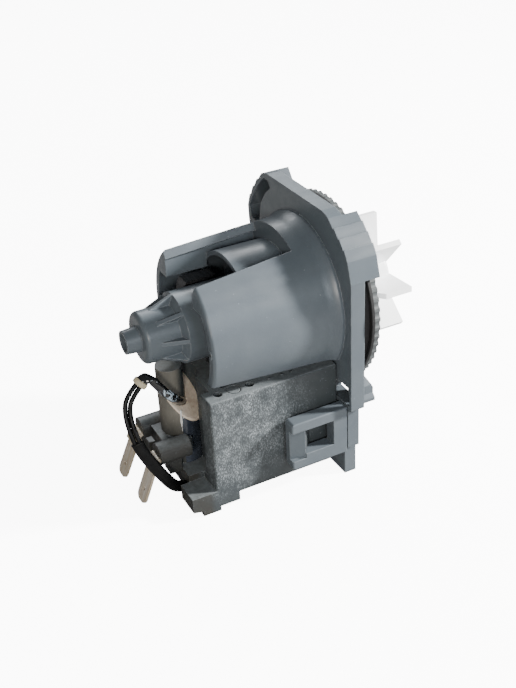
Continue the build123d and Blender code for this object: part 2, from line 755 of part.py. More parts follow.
def from_rear(points):
    """Points of a lead, typed with their distance along X from the casing's rear face."""
    return [(casing_rear_x + x, y, z) for x, y, z in points]


sleeve_route = from_rear([
    (-0.65, -1.4, -25.9), (-3.95, -5.5, -21.7), (-7.15, -6.9, -18.0), (-9.85, -6.2, -14.0),
    (-11.25, -5.0, -11.9), (-13.45, -4.75, -11.1), (-15.1, -4.7, -12.7),
])
sleeve_out = Vector(*sleeve_route[1]) - Vector(*sleeve_route[0])
sleeve_seat = Plane(origin=sleeve_route[0], z_dir=sleeve_out).offset(-seat_gap)


def cut_sleeve_hole():
    """Cuts the seat of the lead's sleeve out of the piece being built."""
    with BuildSketch(sleeve_seat) as face:
        Circle(sleeve_radius + seat_gap)
    extrude(face.sketch, amount=sleeve_out.length, mode=Mode.SUBTRACT)


def cut_pillar():
    """Makes room for the casing's pillar in the piece being built."""
    with BuildSketch(Plane.XY.offset(pillar_bottom - seat_gap)) as face:
        with Locations((pillar_centre_x, pillar_y)):
            Circle(pillar_radius + seat_gap)
    extrude(face.sketch, amount=-pillar_bottom, mode=Mode.SUBTRACT)


with BuildPart() as potting:
    add(column_solid(column_radius, under_leaf))
    add(resin_sector(column_radius, potting_core, -base_top), mode=Mode.INTERSECT)
    with BuildSketch(Plane.XY.offset(cutout_top - cutout_length - seat_gap)):
        with Locations((column_centre_x, 0)):
            Circle(cutout_radius + seat_gap)
    extrude(amount=cutout_length + 2 * seat_gap, mode=Mode.SUBTRACT)
    cut_pillar()
    cut_sleeve_hole()
keep(potting, "potting")

with BuildPart() as resin_cap:
    add(column_solid(column_radius, leaf_plane))
    split(bisect_by=under_leaf, keep=Keep.TOP)
    cut_pillar()
    cut_sleeve_hole()
keep(resin_cap, "resin_cap")

with BuildPart() as thermal_cutout:
    with BuildSketch(Plane.XY.offset(cutout_top - cutout_length)):
        with Locations((column_centre_x, 0)):
            Circle(cutout_radius)
    extrude(amount=cutout_length)
    fillet(thermal_cutout.edges(), radius=0.5)
keep(thermal_cutout, "thermal_cutout")

# Lead: two strands side by side, from the sleeve round to the foot of the casing
strand_a_route = from_rear([
    (-15.58, -4.2, -12.38), (-19.9, -5.3, -15.3), (-21.4, -6.7, -19.8), (-21.5, -9.3, -24.7),
    (-20.5, -11.8, -30.7), (-18.3, -13.4, -35.6), (-13.9, -12.7, -44.0), (-10.65, -11.6, -49.4),
    (-7.45, -11.0, -51.5), (-4.2, -11.0, -51.5),
])
strand_b_route = from_rear([
    (-14.79, -5.2, -13.18), (-18.7, -6.3, -15.9), (-20, -7.3, -19.8), (-20.1, -9.7, -24.3),
    (-19.1, -12.2, -30.1), (-16.9, -13.6, -34.8), (-12.5, -12.9, -43.2), (-9.45, -11.6, -48.4),
    (-6.85, -10.2, -50.2), (-4.2, -10.2, -50.2),
])


def corner_radii(points):
    """Radius at each corner: 0.45 of the shorter run beside it over the tangent of half the turn."""
    radii = []
    for before, corner, after in zip(points, points[1:], points[2:]):
        run_in = Vector(*corner) - Vector(*before)
        run_out = Vector(*after) - Vector(*corner)
        half_turn = radians(run_in.get_angle(run_out)) / 2
        radii.append(0.45 * min(run_in.length, run_out.length) * cos(half_turn) / sin(half_turn))
    return radii


def cord(name, points, radius):
    """Round cord along straight runs joined by tangent arcs."""
    radii = corner_radii(points)
    with BuildPart() as tube:
        with BuildLine() as route:
            FilletPolyline(*points, radius=radii)
        with BuildSketch(Plane(origin=points[0], z_dir=Vector(*points[1]) - Vector(*points[0]))) as face:
            Circle(radius)
        sweep(face.sketch, path=route.line)
    length = sum(edge.length for edge in route.edges())
    expected = pi * radius ** 2 * length
    print(name, "length", round(length, 1), "radii", [round(r, 1) for r in radii],
          "volume", round(tube.part.volume, 1), "of", round(expected, 1))
    keep(tube, name)


cord("lead_sleeve", sleeve_route, sleeve_radius)
cord("lead_strand_a", strand_a_route, strand_radius)
cord("lead_strand_b", strand_b_route, strand_radius)

# Pale band over the sleeve's end
sleeve_end = Plane(origin=sleeve_route[-1], z_dir=Vector(*sleeve_route[-1]) - Vector(*sleeve_route[-2]))
with BuildPart() as lead_band:
    with BuildSketch(sleeve_end.offset(band_overrun - band_length)):
        Circle(band_radius)
        Circle(sleeve_radius + seat_gap, mode=Mode.SUBTRACT)
    extrude(amount=band_length)
keep(lead_band, "lead_band")

# Terminals: a bent blade in each boss and a pale collar round its root
half_blade = blade_width / 2


def blade_plane(side):
    """Vertical plane along a blade's middle."""
    return Plane.XZ.offset(-side * terminal_y)


terminals = ((-1, "near", near_boss_x, near_blade_droop, near_blade_length),
             (1, "far", far_boss_x, far_blade_droop, far_blade_length))
for side, name, boss_end_at, droop, length in terminals:
    y = side * terminal_y
    bend_x = boss_end_at - blade_overhang
    slope = radians(droop)
    down = Vector(-cos(slope), 0, -sin(slope))
    tip = Vector(bend_x, y, blade_exit) + down * length
    with BuildPart() as terminal_blade:
        with BuildSketch(blade_plane(side)) as strip:
            with BuildLine():
                FilletPolyline((boss_end_at + blade_seat, blade_exit), (bend_x, blade_exit), (tip.X, tip.Z),
                               radius=blade_bend)
            trace(line_width=blade_thickness)
        extrude(amount=half_blade, both=True)
        tip_corners = terminal_blade.edges().filter_by(
            lambda e: abs(e.length - blade_thickness) < 1e-3).sort_by(Axis.Z)[:2]
        fillet(tip_corners, radius=blade_tip_round)
        across = Vector(-sin(slope), 0, cos(slope))
        hole_at = tip - down * blade_hole_inset
        with BuildSketch(Plane(origin=hole_at, x_dir=(0, 1, 0), z_dir=across)):
            Circle(blade_hole_radius)
        extrude(amount=blade_thickness, both=True, mode=Mode.SUBTRACT)
    keep(terminal_blade, "terminal_blade_" + name)

    root = Vector(bend_x, y, blade_exit) + down * collar_start
    with BuildPart() as terminal_collar:
        with BuildSketch(Plane(origin=root, x_dir=(0, 1, 0), z_dir=down)):
            RectangleRounded(2 * collar_half_width, collar_height, 0.6)
            Rectangle(blade_width + 2 * seat_gap, blade_thickness + 2 * seat_gap, mode=Mode.SUBTRACT)
        extrude(amount=collar_length)
    keep(terminal_collar, "terminal_collar_" + name)

# Stator casing: block, feet, catches, rear column, pillar and terminal bosses in one moulding
catch_x = back_x - window_start - window_length + slip_gap
foot_end_x = casing_rear_x - foot_rear
foot_front_x = casing_rear_x - foot_front
pad_rear_x = casing_rear_x - pad_rear
pad_front_x = casing_rear_x - pad_front
boss_front_x = casing_rear_x - boss_front
with BuildPart() as open_top:
    with BuildSketch(Plane.XY.offset(base_top)):
        with Locations((column_centre_x, 0)):
            Circle(column_radius + seat_gap)
    extrude(amount=-base_top)
    split(bisect_by=under_leaf, keep=Keep.TOP)

with BuildPart() as pillar:
    with BuildSketch(Plane.XY.offset(pillar_bottom)):
        with Locations((pillar_centre_x, pillar_y)):
            Circle(pillar_radius)
    extrude(amount=pillar_top - pillar_bottom)

resin_sides = resin_sector(column_radius + seat_gap, potting_core + seat_gap, -base_top)
resin_room = (resin_sides & column_solid(2 * column_radius, under_leaf)) - pillar.part

with BuildPart() as stator_casing:
    block((casing_rear_x, casing_front_x), (-casing_half_width, casing_half_width),
          (casing_bottom, casing_top))
    fillet(stator_casing.edges(), radius=casing_edge)
    block((casing_rear_x - 1, casing_rear_x + recess_depth), (-recess_outer, recess_outer),
          (base_top, casing_top + 1), mode=Mode.SUBTRACT)
    for side in (-1, 1):
        with BuildSketch(Plane.XY.offset(window_bottom + catch_margin)):
            Polygon((catch_x, side * (casing_half_width - 1)),
                    (catch_x, side * (casing_half_width + catch_height)),
                    (catch_x + catch_length, side * casing_half_width),
                    (catch_x + catch_length, side * (casing_half_width - 1)), align=None)
        extrude(amount=window_top - window_bottom - 2 * catch_margin)

    # Feet under both sides at the rear, with the base between them
    for side in (-1, 1):
        outer = Plane.XZ.offset(-side * casing_half_width)
        with BuildSketch(outer):
            Polygon((foot_end_x, foot_top), (foot_end_x, foot_base + 1), (foot_end_x + foot_slant, foot_base),
                    (pad_rear_x, foot_base), (pad_rear_x, floor_z), (pad_front_x, floor_z),
                    (pad_front_x, foot_base), (foot_front_x, foot_base),
                    (foot_front_x, casing_bottom + 1), (casing_rear_x + 1, casing_bottom + 1),
                    (casing_rear_x + 1, foot_top), align=None)
        extrude(amount=side * (casing_half_width - base_half_width))
    block((base_rear_x, foot_front_x), (-base_half_width, base_half_width),
          (base_bottom, base_top))

    # Rear column, open above its slanted top, and the pillar that stands in it
    add(open_top.part, mode=Mode.SUBTRACT)
    add(column_solid(column_radius, under_leaf))
    add(pillar.part)

    # Terminal bosses and the bridge between them
    for side, name, boss_end_at, droop, length in terminals:
        with BuildSketch(Plane.YZ.offset(boss_end_at)):
            with Locations((side * terminal_y, (boss_top + boss_bottom) / 2)):
                RectangleRounded(2 * boss_half_width, boss_top - boss_bottom, boss_corner)
        extrude(amount=boss_front_x - boss_end_at)
    block((casing_rear_x - bridge_rear, column_centre_x), (-terminal_y, terminal_y), (bridge_bottom, bridge_top))
    lump_x = casing_rear_x - lump_rear
    block((lump_x, lump_x + lump_size[0]),
          (lump_y - lump_size[1] / 2, lump_y + lump_size[1] / 2), (base_top - 1, base_top + lump_size[2]))

    # Room for what the casing holds
    add(resin_room, mode=Mode.SUBTRACT)
    cut_sleeve_hole()
    barrel(can_step_x - slip_gap, back_x + 1, can_outer + slip_gap, mode=Mode.SUBTRACT)
    leg_x = (stack_rear_x - seat_gap, stack_front_x + seat_gap)
    block(leg_x, (-leg_outer - seat_gap, leg_outer + seat_gap),
          (leg_bottom - yoke_height - seat_gap, leg_bottom + seat_gap), mode=Mode.SUBTRACT)
    for side in (-1, 1):
        leg_y = sorted((side * (leg_inner - seat_gap), side * (leg_outer + seat_gap)))
        block(leg_x, leg_y, (leg_bottom, casing_top + 1), mode=Mode.SUBTRACT)
        coil_reach = coil_half_y + seat_gap
        block((coil_x - coil_half_x - seat_gap, coil_x + coil_half_x + seat_gap),
              (side * coil_y - coil_reach, side * coil_y + coil_reach),
              (bobbin_bottom - seat_gap, bobbin_top + seat_gap), mode=Mode.SUBTRACT)
    for side, name, boss_end_at, droop, length in terminals:
        y = side * terminal_y
        half_slot = blade_thickness / 2 + seat_gap
        block((boss_end_at - 1, boss_end_at + blade_seat + seat_gap),
              (y - half_blade - seat_gap, y + half_blade + seat_gap),
              (blade_exit - half_slot, blade_exit + half_slot), mode=Mode.SUBTRACT)
    for route in (strand_a_route, strand_b_route):
        end = route[-1]
        with BuildSketch(Plane.YZ.offset(base_rear_x - 1)) as mouth:
            with Locations((end[1], end[2])):
                Circle(strand_radius + seat_gap)
        extrude(mouth.sketch, amount=end[0] + seat_gap - (base_rear_x - 1), mode=Mode.SUBTRACT)

    # Round marks on top: two holes with a ring between them on each side
    for side in (-1, 1):
        row_y = side * (casing_half_width - mark_inset)
        first_x = casing_rear_x + mark_from_rear
        with BuildSketch(Plane.XY.offset(casing_top - mark_depth)):
            with Locations((first_x, row_y), (first_x + 2 * mark_spacing, row_y)):
                Circle(mark_hole_radius)
        extrude(amount=mark_depth, mode=Mode.SUBTRACT)
        with BuildSketch(Plane.XY.offset(casing_top - mark_groove)):
            with Locations((first_x + mark_spacing, row_y)):
                Circle(mark_radius)
                Circle(mark_radius - mark_groove, mode=Mode.SUBTRACT)
        extrude(amount=mark_groove, mode=Mode.SUBTRACT)
keep(stator_casing, "stator_casing")
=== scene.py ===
"""Looks of the dishwasher drain pump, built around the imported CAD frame. Metres, +Z up."""
import math
import random

import bmesh
import bpy
from mathutils import Matrix, Vector


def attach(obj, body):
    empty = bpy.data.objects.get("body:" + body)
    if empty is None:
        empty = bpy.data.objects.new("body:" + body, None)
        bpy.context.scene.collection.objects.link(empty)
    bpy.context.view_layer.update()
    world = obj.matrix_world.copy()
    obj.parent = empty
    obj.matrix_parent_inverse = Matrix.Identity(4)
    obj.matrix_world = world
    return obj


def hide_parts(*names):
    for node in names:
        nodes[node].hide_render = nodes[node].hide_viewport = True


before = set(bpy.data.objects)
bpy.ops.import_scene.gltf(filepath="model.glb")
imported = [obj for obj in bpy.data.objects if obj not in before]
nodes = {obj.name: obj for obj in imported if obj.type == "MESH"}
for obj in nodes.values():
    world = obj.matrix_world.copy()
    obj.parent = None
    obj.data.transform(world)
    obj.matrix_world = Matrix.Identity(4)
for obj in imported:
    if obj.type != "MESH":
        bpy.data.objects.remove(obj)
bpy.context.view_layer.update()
MM = 0.001

# Camera, fitted to the photograph: angles in degrees, offsets and distance in metres
AZIMUTH = -25.82
ELEVATION = 31.07
ROLL = -3.2
CAMERA_SHIFT = (-0.01389, -0.01703)
CAMERA_DISTANCE = 0.33327
FRAME_OFFSET_X = -0.00475
SENSOR_MM = 36.0
LENS_MM = 54.62

# Floor in metres; the room's light on the pump, and how bright room and floor look
FLOOR_Z = -0.056
FLOOR_REACH = 3.0
ROOM_LIGHT = 0.16
SEEN_BRIGHTNESS = 9.0

# Sizes of the pump, in millimetres, as the solids have them
CASING_REAR_X = -48.85
CASING_SIDE_Y = -22.0
CASING_TOP_Z = -15.7
COLUMN_X = -49.95
COLUMN_RADIUS = 6.6
SEAM_ANGLE = -108.0
COVER_RADIUS = 31.0
SEAL_THICKNESS = 2.25
NEAR_WING_X = -47.15
LAMINATION = 0.5

# Lead: lengths in metres, as the cords have them, the rest in millimetres
STRAND_A_LENGTH = 0.0506
STRAND_B_LENGTH = 0.0473
STRAND_RADIUS = 0.75
SLEEVE_RADIUS = 1.5
MOUTH_WIDER = 0.45
MOUTH_FLATTER = 0.3
WRAP_WALL = 0.42
WRAP_LIP = 0.16
WRAP_SPAN = (0.40, 0.93)

# Where the looks change, in millimetres. The patches have a centre, a radius and a soft margin;
# the brown haze sets in at these distances behind the casing, and goes from painted shade below to
# painted light above between these heights
SCUFF_UPPER = ((-36, CASING_SIDE_Y, -27), 8, 16)
SCUFF_LOWER = ((-43, CASING_SIDE_Y, -38), 5, 12)
# Patch of the sleeve's painted highlight
SLEEVE_HIGHLIGHT = ((-55.4, -7.6, -17.6), 2.6, 1.6)
HAZE_BEHIND = (0.5, 2.5)
HAZE_SHADE_Z = (-36, -27)

# Marks on the wing's end and on the casing's top, in millimetres
WING_MARK_YZ = (-21.9, 1.0)
WING_MARK_HALF = (1.15, 1.5)
WING_MARK_HEIGHT = 0.12
WING_HOLE_RADIUS = 0.5
TOP_DOT_X = (-27.0, -22.6, -19.2)
TOP_DOT_Y = 18.3
TOP_DOT_RADIUS = 0.55
TOP_DOT_HEIGHT = 0.15


def look():
    """Camera of the photograph, standing off the pump's rear corner."""
    azimuth, elevation, roll = (math.radians(a) for a in (AZIMUTH, ELEVATION, ROLL))
    back = Vector((math.sin(azimuth) * math.cos(elevation),
                   -math.cos(azimuth) * math.cos(elevation), math.sin(elevation)))
    level = Vector((math.cos(azimuth), math.sin(azimuth), 0.0))
    upright = back.cross(level)
    right = level * math.cos(roll) + upright * math.sin(roll)
    up = upright * math.cos(roll) - level * math.sin(roll)
    stand = right * CAMERA_SHIFT[0] + up * CAMERA_SHIFT[1] + back * CAMERA_DISTANCE
    stand.x += FRAME_OFFSET_X
    data = bpy.data.cameras.new("camera")
    data.sensor_width = SENSOR_MM
    data.lens = LENS_MM
    data.clip_start = 0.01
    camera = bpy.data.objects.new("camera", data)
    turn = Matrix((right, up, back)).transposed().to_4x4()
    camera.matrix_world = Matrix.Translation(stand) @ turn
    bpy.context.scene.collection.objects.link(camera)
    bpy.context.scene.camera = camera


look()


# Routes in millimetres: the sleeve out of the column, then the cords, which are the two strands
# of the lead, from the sleeve's mouth to the casing's foot
SLEEVE_ROUTE = [
    (-49.5, -1.4, -25.9), (-52.8, -5.5, -21.7), (-56.0, -6.9, -18.0), (-58.7, -6.2, -14.0),
    (-60.1, -5.0, -11.9), (-62.3, -4.75, -11.1), (-63.95, -4.7, -12.7),
]
STRAND_A_ROUTE = [
    (-64.43, -4.2, -12.38), (-68.75, -5.3, -15.3), (-70.25, -6.7, -19.8), (-70.35, -9.3, -24.7),
    (-69.35, -11.8, -30.7), (-67.15, -13.4, -35.6), (-62.75, -12.7, -44.0), (-59.5, -11.6, -49.4),
    (-56.3, -11.0, -51.5), (-53.05, -11.0, -51.5),
]
STRAND_B_ROUTE = [
    (-63.64, -5.2, -13.18), (-67.55, -6.3, -15.9), (-68.85, -7.3, -19.8), (-68.95, -9.7, -24.3),
    (-67.95, -12.2, -30.1), (-65.75, -13.6, -34.8), (-61.35, -12.9, -43.2), (-58.3, -11.6, -48.4),
    (-55.7, -10.2, -50.2), (-53.05, -10.2, -50.2),
]


def place(obj):
    """Puts an object in the scene, on the fixed body."""
    bpy.context.scene.collection.objects.link(obj)
    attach(obj, "root")
    return obj


def spline_curve(name, route, radius=0.0):
    """Curve with the route's points, in millimetres, as control points."""
    curve = bpy.data.curves.new(name, "CURVE")
    curve.dimensions = "3D"
    curve.resolution_u = 16
    # The tube's radius is the points' own, because the curve's box grows by the points' radius
    curve.bevel_depth = 1.0 if radius else 0.0
    curve.bevel_resolution = 6
    curve.use_fill_caps = True
    spline = curve.splines.new("NURBS")
    spline.points.add(len(route) - 1)
    for point, (x, y, z) in zip(spline.points, route):
        point.co = (x * MM, y * MM, z * MM, 1)
        point.radius = radius * MM
    spline.order_u = 3
    spline.use_endpoint_u = True
    return curve


def route_points(route):
    """Points along the smooth line of a route, in metres."""
    line = bpy.data.objects.new("route", spline_curve("route", route))
    mesh = bpy.data.meshes.new_from_object(line)
    points = [vertex.co.copy() for vertex in mesh.vertices]
    bpy.data.objects.remove(line)
    bpy.data.meshes.remove(mesh)
    return points


strands = []
for name, node, route, length in (
        ("strand_a", "lead_strand_a", STRAND_A_ROUTE, STRAND_A_LENGTH),
        ("strand_b", "lead_strand_b", STRAND_B_ROUTE, STRAND_B_LENGTH)):
    curve = spline_curve(name, route, STRAND_RADIUS)
    strand = place(bpy.data.objects.new(name, curve))
    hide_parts(node)
    strands.append((strand, route, length))


def area_light(name, where, target, size, power, color):
    """Soft rectangular light aimed at a point."""
    data = bpy.data.lights.new(name, "AREA")
    data.shape = "RECTANGLE"
    data.size, data.size_y = size
    data.energy = power
    data.color = color
    light = bpy.data.objects.new(name, data)
    light.location = where
    aim = Vector(target) - Vector(where)
    light.rotation_euler = aim.to_track_quat("-Z", "Y").to_euler()
    bpy.context.scene.collection.objects.link(light)


# The main light stands ahead of the flange, on the near side, so what faces the rear stays dark
area_light("key", (0.70, -0.32, 0.40), target=(-0.02, 0, 0), size=(0.09, 0.09),
           power=28.0, color=(1.0, 0.985, 0.96))
area_light("near_side", (0.0, -0.78, 0.34), target=(-0.03, 0, -0.01), size=(0.3, 0.3),
           power=2.0, color=(0.84, 0.92, 1.0))
area_light("behind", (0.16, 0.72, 0.52), target=(-0.03, 0, 0), size=(0.5, 0.16),
           power=3.4, color=(0.93, 0.97, 1.0))
area_light("rear", (-0.38, -0.52, 0.20), target=(-0.06, 0, -0.03), size=(0.12, 0.12),
           power=2.2, color=(1.0, 0.95, 0.88))

world = bpy.data.worlds.new("studio")
bpy.context.scene.world = world
world.use_nodes = True
background = world.node_tree.nodes["Background"]
background.inputs["Color"].default_value = (0.97, 0.985, 1, 1)
# The room lights the pump softly, and looks as pale as the floor
seen_room = world.node_tree.nodes.new("ShaderNodeLightPath").outputs["Is Camera Ray"]
room = world.node_tree.nodes.new("ShaderNodeMapRange")
room.inputs["To Min"].default_value = ROOM_LIGHT
room.inputs["To Max"].default_value = SEEN_BRIGHTNESS
world.node_tree.links.new(seen_room, room.inputs["Value"])
world.node_tree.links.new(room.outputs[0], background.inputs["Strength"])


class Shader:
    """Short way of writing a material's nodes; places are in metres along the pump's own axes."""

    def __init__(self, name):
        self.material = bpy.data.materials.new(name)
        self.material.use_nodes = True
        self.tree = self.material.node_tree
        self.bsdf = self.tree.nodes["Principled BSDF"]
        self.where = self.add("ShaderNodeTexCoord").outputs["Object"]

    def add(self, kind, inputs=None, **settings):
        node = self.tree.nodes.new(kind)
        for key, value in settings.items():
            setattr(node, key, value)
        for key, value in (inputs or {}).items():
            self.put(node.inputs[key], value)
        return node

    def put(self, socket, value):
        if isinstance(value, bpy.types.NodeSocket):
            self.tree.links.new(value, socket)
        else:
            socket.default_value = value

    def set(self, **inputs):
        for key, value in inputs.items():
            self.put(self.bsdf.inputs[key.replace("_", " ")], value)

    def color(self):
        """What colours the material so far."""
        return self.bsdf.inputs["Base Color"].links[0].from_socket

    def along(self, axis, vector=None):
        """One coordinate of the place, or of another vector."""
        return self.add("ShaderNodeSeparateXYZ", {"Vector": vector or self.where}).outputs[axis]

    def normal(self):
        return self.add("ShaderNodeNewGeometry").outputs["Normal"]

    def rounded(self, radius):
        """Normal with the edges rounded, the radius in millimetres."""
        return self.add("ShaderNodeBevel", {"Radius": radius * MM}, samples=6).outputs[0]

    def noise(self, scale, detail=4.0, stretch=None, roughness=0.55, distortion=0.0):
        at = self.where
        if stretch:
            at = self.add("ShaderNodeMapping", {"Vector": at, "Scale": stretch}).outputs[0]
        inputs = {"Vector": at, "Scale": scale, "Detail": detail, "Roughness": roughness,
                  "Distortion": distortion}
        return self.add("ShaderNodeTexNoise", inputs).outputs[0]

    def scale(self, value, low, high, to_low=0.0, to_high=1.0):
        """Maps low..high of a value to the new limits, and holds it there."""
        inputs = {"Value": value, "From Min": low, "From Max": high, "To Min": to_low,
                  "To Max": to_high}
        return self.add("ShaderNodeMapRange", inputs).outputs[0]

    def math(self, operation, a, b=0.0):
        return self.add("ShaderNodeMath", {0: a, 1: b}, operation=operation).outputs[0]

    def times(self, a, b):
        return self.math("MULTIPLY", a, b)

    def mix(self, factor, a, b):
        """Colour between a and b."""
        node = self.add("ShaderNodeMix", data_type="RGBA")
        for index, value in ((0, factor), (6, a), (7, b)):
            if isinstance(value, tuple):
                value = (*value, 1.0)
            self.put(node.inputs[index], value)
        return node.outputs[2]

    def near(self, point, radius, soft):
        """One within the radius of a point in millimetres, fading out over the soft margin."""
        inputs = {0: self.where, 1: tuple(v * MM for v in point)}
        offset = self.add("ShaderNodeVectorMath", inputs, operation="DISTANCE").outputs["Value"]
        return self.scale(offset, radius * MM, (radius + soft) * MM, 1.0, 0.0)

    def edges(self, radius):
        """One on edges and corners, nothing on flats."""
        inputs = {0: self.rounded(radius), 1: self.normal()}
        agree = self.add("ShaderNodeVectorMath", inputs, operation="DOT_PRODUCT").outputs["Value"]
        return self.scale(agree, 0.995, 0.80, 0.0, 1.0)

    def bump(self, heights, radius):
        """Rounded edges with layered bumps; heights are (value, depth in millimetres)."""
        normal = self.rounded(radius)
        for height, depth in heights:
            inputs = {"Height": height, "Distance": depth * MM, "Normal": normal, "Strength": 1.0}
            normal = self.add("ShaderNodeBump", inputs).outputs[0]
        self.put(self.bsdf.inputs["Normal"], normal)


def linear(red, green, blue):
    """Colour given as 0 to 255 screen values."""
    return tuple((v / 255 / 12.92) if v <= 10 else ((v / 255 + 0.055) / 1.055) ** 2.4
                 for v in (red, green, blue))


def plastic(name, base, other, roughness, wear=None, grain=0.012, speckle=None, edge=0.3):
    """Moulded plastic: mottled colour, fine grain, dust specks and edges rubbed lighter."""
    s = Shader(name)
    mottle = s.scale(s.noise(60, 6), 0.35, 0.65)
    color = s.mix(mottle, base, other)
    fine = s.noise(1900, 3)
    streak = s.noise(260, 5, stretch=(0.25, 1, 1))
    if speckle:
        shade, amount = speckle
        spots = s.scale(s.noise(1150, 2, roughness=0.7), 0.72 - amount, 0.78 - amount)
        color = s.mix(s.times(spots, 0.8), color, shade)
    if wear:
        patchy = s.scale(s.noise(420, 5), 0.38, 0.62, 0.15, 0.75)
        color = s.mix(s.times(s.edges(edge + 0.15), patchy), color, wear)
    s.set(Base_Color=color, Roughness=s.scale(streak, 0.3, 0.7, roughness - 0.06, roughness + 0.1))
    s.bump([(fine, grain), (s.noise(150, 3), 0.02)], edge)
    return s


def housing():
    return plastic("housing_plastic", linear(86, 94, 101), linear(94, 102, 108), 0.34,
                   wear=linear(138, 146, 150), speckle=(linear(140, 148, 153), 0.0), edge=0.35)


def casing():
    """Glass-filled casing, scuffed pale over the middle of its near side."""
    s = plastic("casing_plastic", linear(50, 56, 59), linear(62, 67, 69), 0.48,
                wear=linear(112, 116, 116), speckle=(linear(128, 136, 140), 0.05), grain=0.02)
    patch = s.math("MAXIMUM", s.near(*SCUFF_UPPER), s.near(*SCUFF_LOWER))
    flecks = s.scale(s.noise(2100, 3, stretch=(1.6, 1, 0.6), roughness=0.75), 0.5, 0.62)
    blotch = s.scale(s.noise(240, 6, roughness=0.7), 0.3, 0.75)
    scuff = s.times(s.times(patch, blotch), s.scale(flecks, 0, 1, 0.12, 1.0))
    rubbed = s.mix(s.times(scuff, 0.85), s.color(), linear(202, 211, 216))
    # The column and the terminal bosses carry a brownish haze of resin; it is painted dark below
    # as painted shade and pale above as painted light
    rear = s.scale(s.along("X"), *((CASING_REAR_X - behind) * MM for behind in HAZE_BEHIND))
    high = s.scale(s.along("Z"), *(z * MM for z in HAZE_SHADE_Z))
    haze = s.scale(s.noise(130, 5, roughness=0.65), 0.25, 0.7, 0.45, 0.95)
    brown_painted_shade_and_light = s.mix(high, linear(50, 48, 43), linear(122, 117, 107))
    hazed_and_shaded = s.mix(s.times(rear, haze), rubbed, brown_painted_shade_and_light)
    # Painted light: what faces up is painted paler, in patches
    up_painted_light = s.scale(s.along("Z", s.normal()), 0.6, 0.95, 0.0, 0.6)
    dust_and_painted_light = s.times(up_painted_light, s.scale(s.noise(700, 6, roughness=0.75), 0.3, 0.65, 0.4, 1.0))
    s.set(Base_Color=s.mix(dust_and_painted_light, hazed_and_shaded, linear(136, 143, 146)))
    return s


def rubber():
    """Black rubber with a little dust in its grain."""
    s = Shader("rubber")
    dust_and_painted_light = s.scale(s.noise(900, 4, roughness=0.8), 0.6, 0.75)
    s.set(Base_Color=s.mix(s.times(dust_and_painted_light, 0.35), linear(22, 22, 23), linear(96, 96, 95)),
          Roughness=s.scale(s.noise(300, 4), 0.3, 0.7, 0.55, 0.75))
    s.bump([(s.noise(1400, 4), 0.02), (s.noise(220, 3), 0.03)], 0.25)
    return s


def laminations():
    """Stack of sheets along X, their edges a little uneven."""
    s = Shader("lamination_steel")
    phase = s.math("FRACT", s.math("DIVIDE", s.along("X"), LAMINATION * MM))
    groove = s.scale(s.math("ABSOLUTE", s.math("SUBTRACT", phase, 0.5)), 0.36, 0.5)
    sheet = s.noise(2000, 1, stretch=(1, 0.02, 0.02))
    tone = s.mix(s.scale(sheet, 0.35, 0.65), linear(50, 51, 54), linear(72, 73, 75))
    rust = s.scale(s.noise(380, 6, roughness=0.7), 0.56, 0.72)
    tone = s.mix(s.times(rust, 0.5), tone, linear(58, 48, 40))
    s.set(Base_Color=s.mix(groove, tone, linear(20, 20, 20)), Metallic=0.7,
          Roughness=s.scale(s.noise(600, 4), 0.3, 0.7, 0.35, 0.6))
    ridge = s.math("SUBTRACT", 1.0, groove)
    s.bump([(ridge, 0.06), (sheet, 0.03), (s.noise(1500, 3), 0.01)], 0.12)
    return s


def dark_resin():
    """Poured resin: nearly black and glossy, with ripples, pin holes and a few dull patches."""
    s = Shader("dark_resin")
    dull = s.scale(s.noise(240, 5), 0.45, 0.65)
    cloud = s.scale(s.noise(120, 3), 0.4, 0.6)
    s.set(Base_Color=s.mix(cloud, linear(40, 45, 54), linear(62, 68, 79)),
          Roughness=s.scale(dull, 0, 1, 0.1, 0.34), Coat_Weight=0.5, Coat_Roughness=0.08)
    s.bump([(s.noise(210, 3, distortion=0.6), 0.16), (s.noise(1300, 3), 0.012)], 0.3)
    return s


def pale_resin():
    """Leaf of cured resin, its surface lumpy and stained at the rim."""
    s = Shader("pale_resin")
    stain = s.scale(s.noise(330, 6, roughness=0.7), 0.42, 0.68)
    rim = s.scale(s.edges(0.7), 0.1, 1.0)
    tone = s.mix(stain, linear(236, 222, 204), linear(212, 194, 174))
    s.set(Base_Color=s.mix(s.times(rim, 0.5), tone, linear(178, 160, 138)),
          Roughness=s.scale(s.noise(420, 4), 0.3, 0.7, 0.35, 0.6), Coat_Weight=0.15)
    s.bump([(s.noise(260, 4, distortion=0.8), 0.3), (s.noise(1500, 3), 0.02)], 0.35)
    return s


def tin():
    """Tinned blade: dull warm metal with wiping marks down its length and darker spots."""
    s = Shader("tinned_brass")
    wiped = s.noise(700, 4, stretch=(0.15, 1, 0.08))
    spot = s.scale(s.noise(500, 5, roughness=0.75), 0.6, 0.72)
    tone = s.mix(s.scale(wiped, 0.35, 0.65), linear(232, 224, 210), linear(208, 192, 166))
    s.set(Base_Color=s.mix(s.times(spot, 0.5), tone, linear(134, 112, 84)), Metallic=0.45,
          Roughness=s.scale(wiped, 0.3, 0.7, 0.3, 0.5))
    s.bump([(wiped, 0.01), (s.noise(1800, 3), 0.006)], 0.12)
    return s


def glossy(name, tone, other, roughness, ripple, coat, shine=0.5):
    """Smooth extruded or shrunk tube."""
    s = Shader(name)
    s.set(Base_Color=s.mix(s.scale(s.noise(400, 5), 0.4, 0.7), tone, other),
          Roughness=s.scale(s.noise(300, 4), 0.3, 0.7, roughness, roughness + 0.14),
          Coat_Weight=coat, Coat_Roughness=0.06, Specular_IOR_Level=shine)
    s.bump([(s.noise(180, 3), ripple), (s.noise(1700, 2), 0.005)], 0.2)
    return s


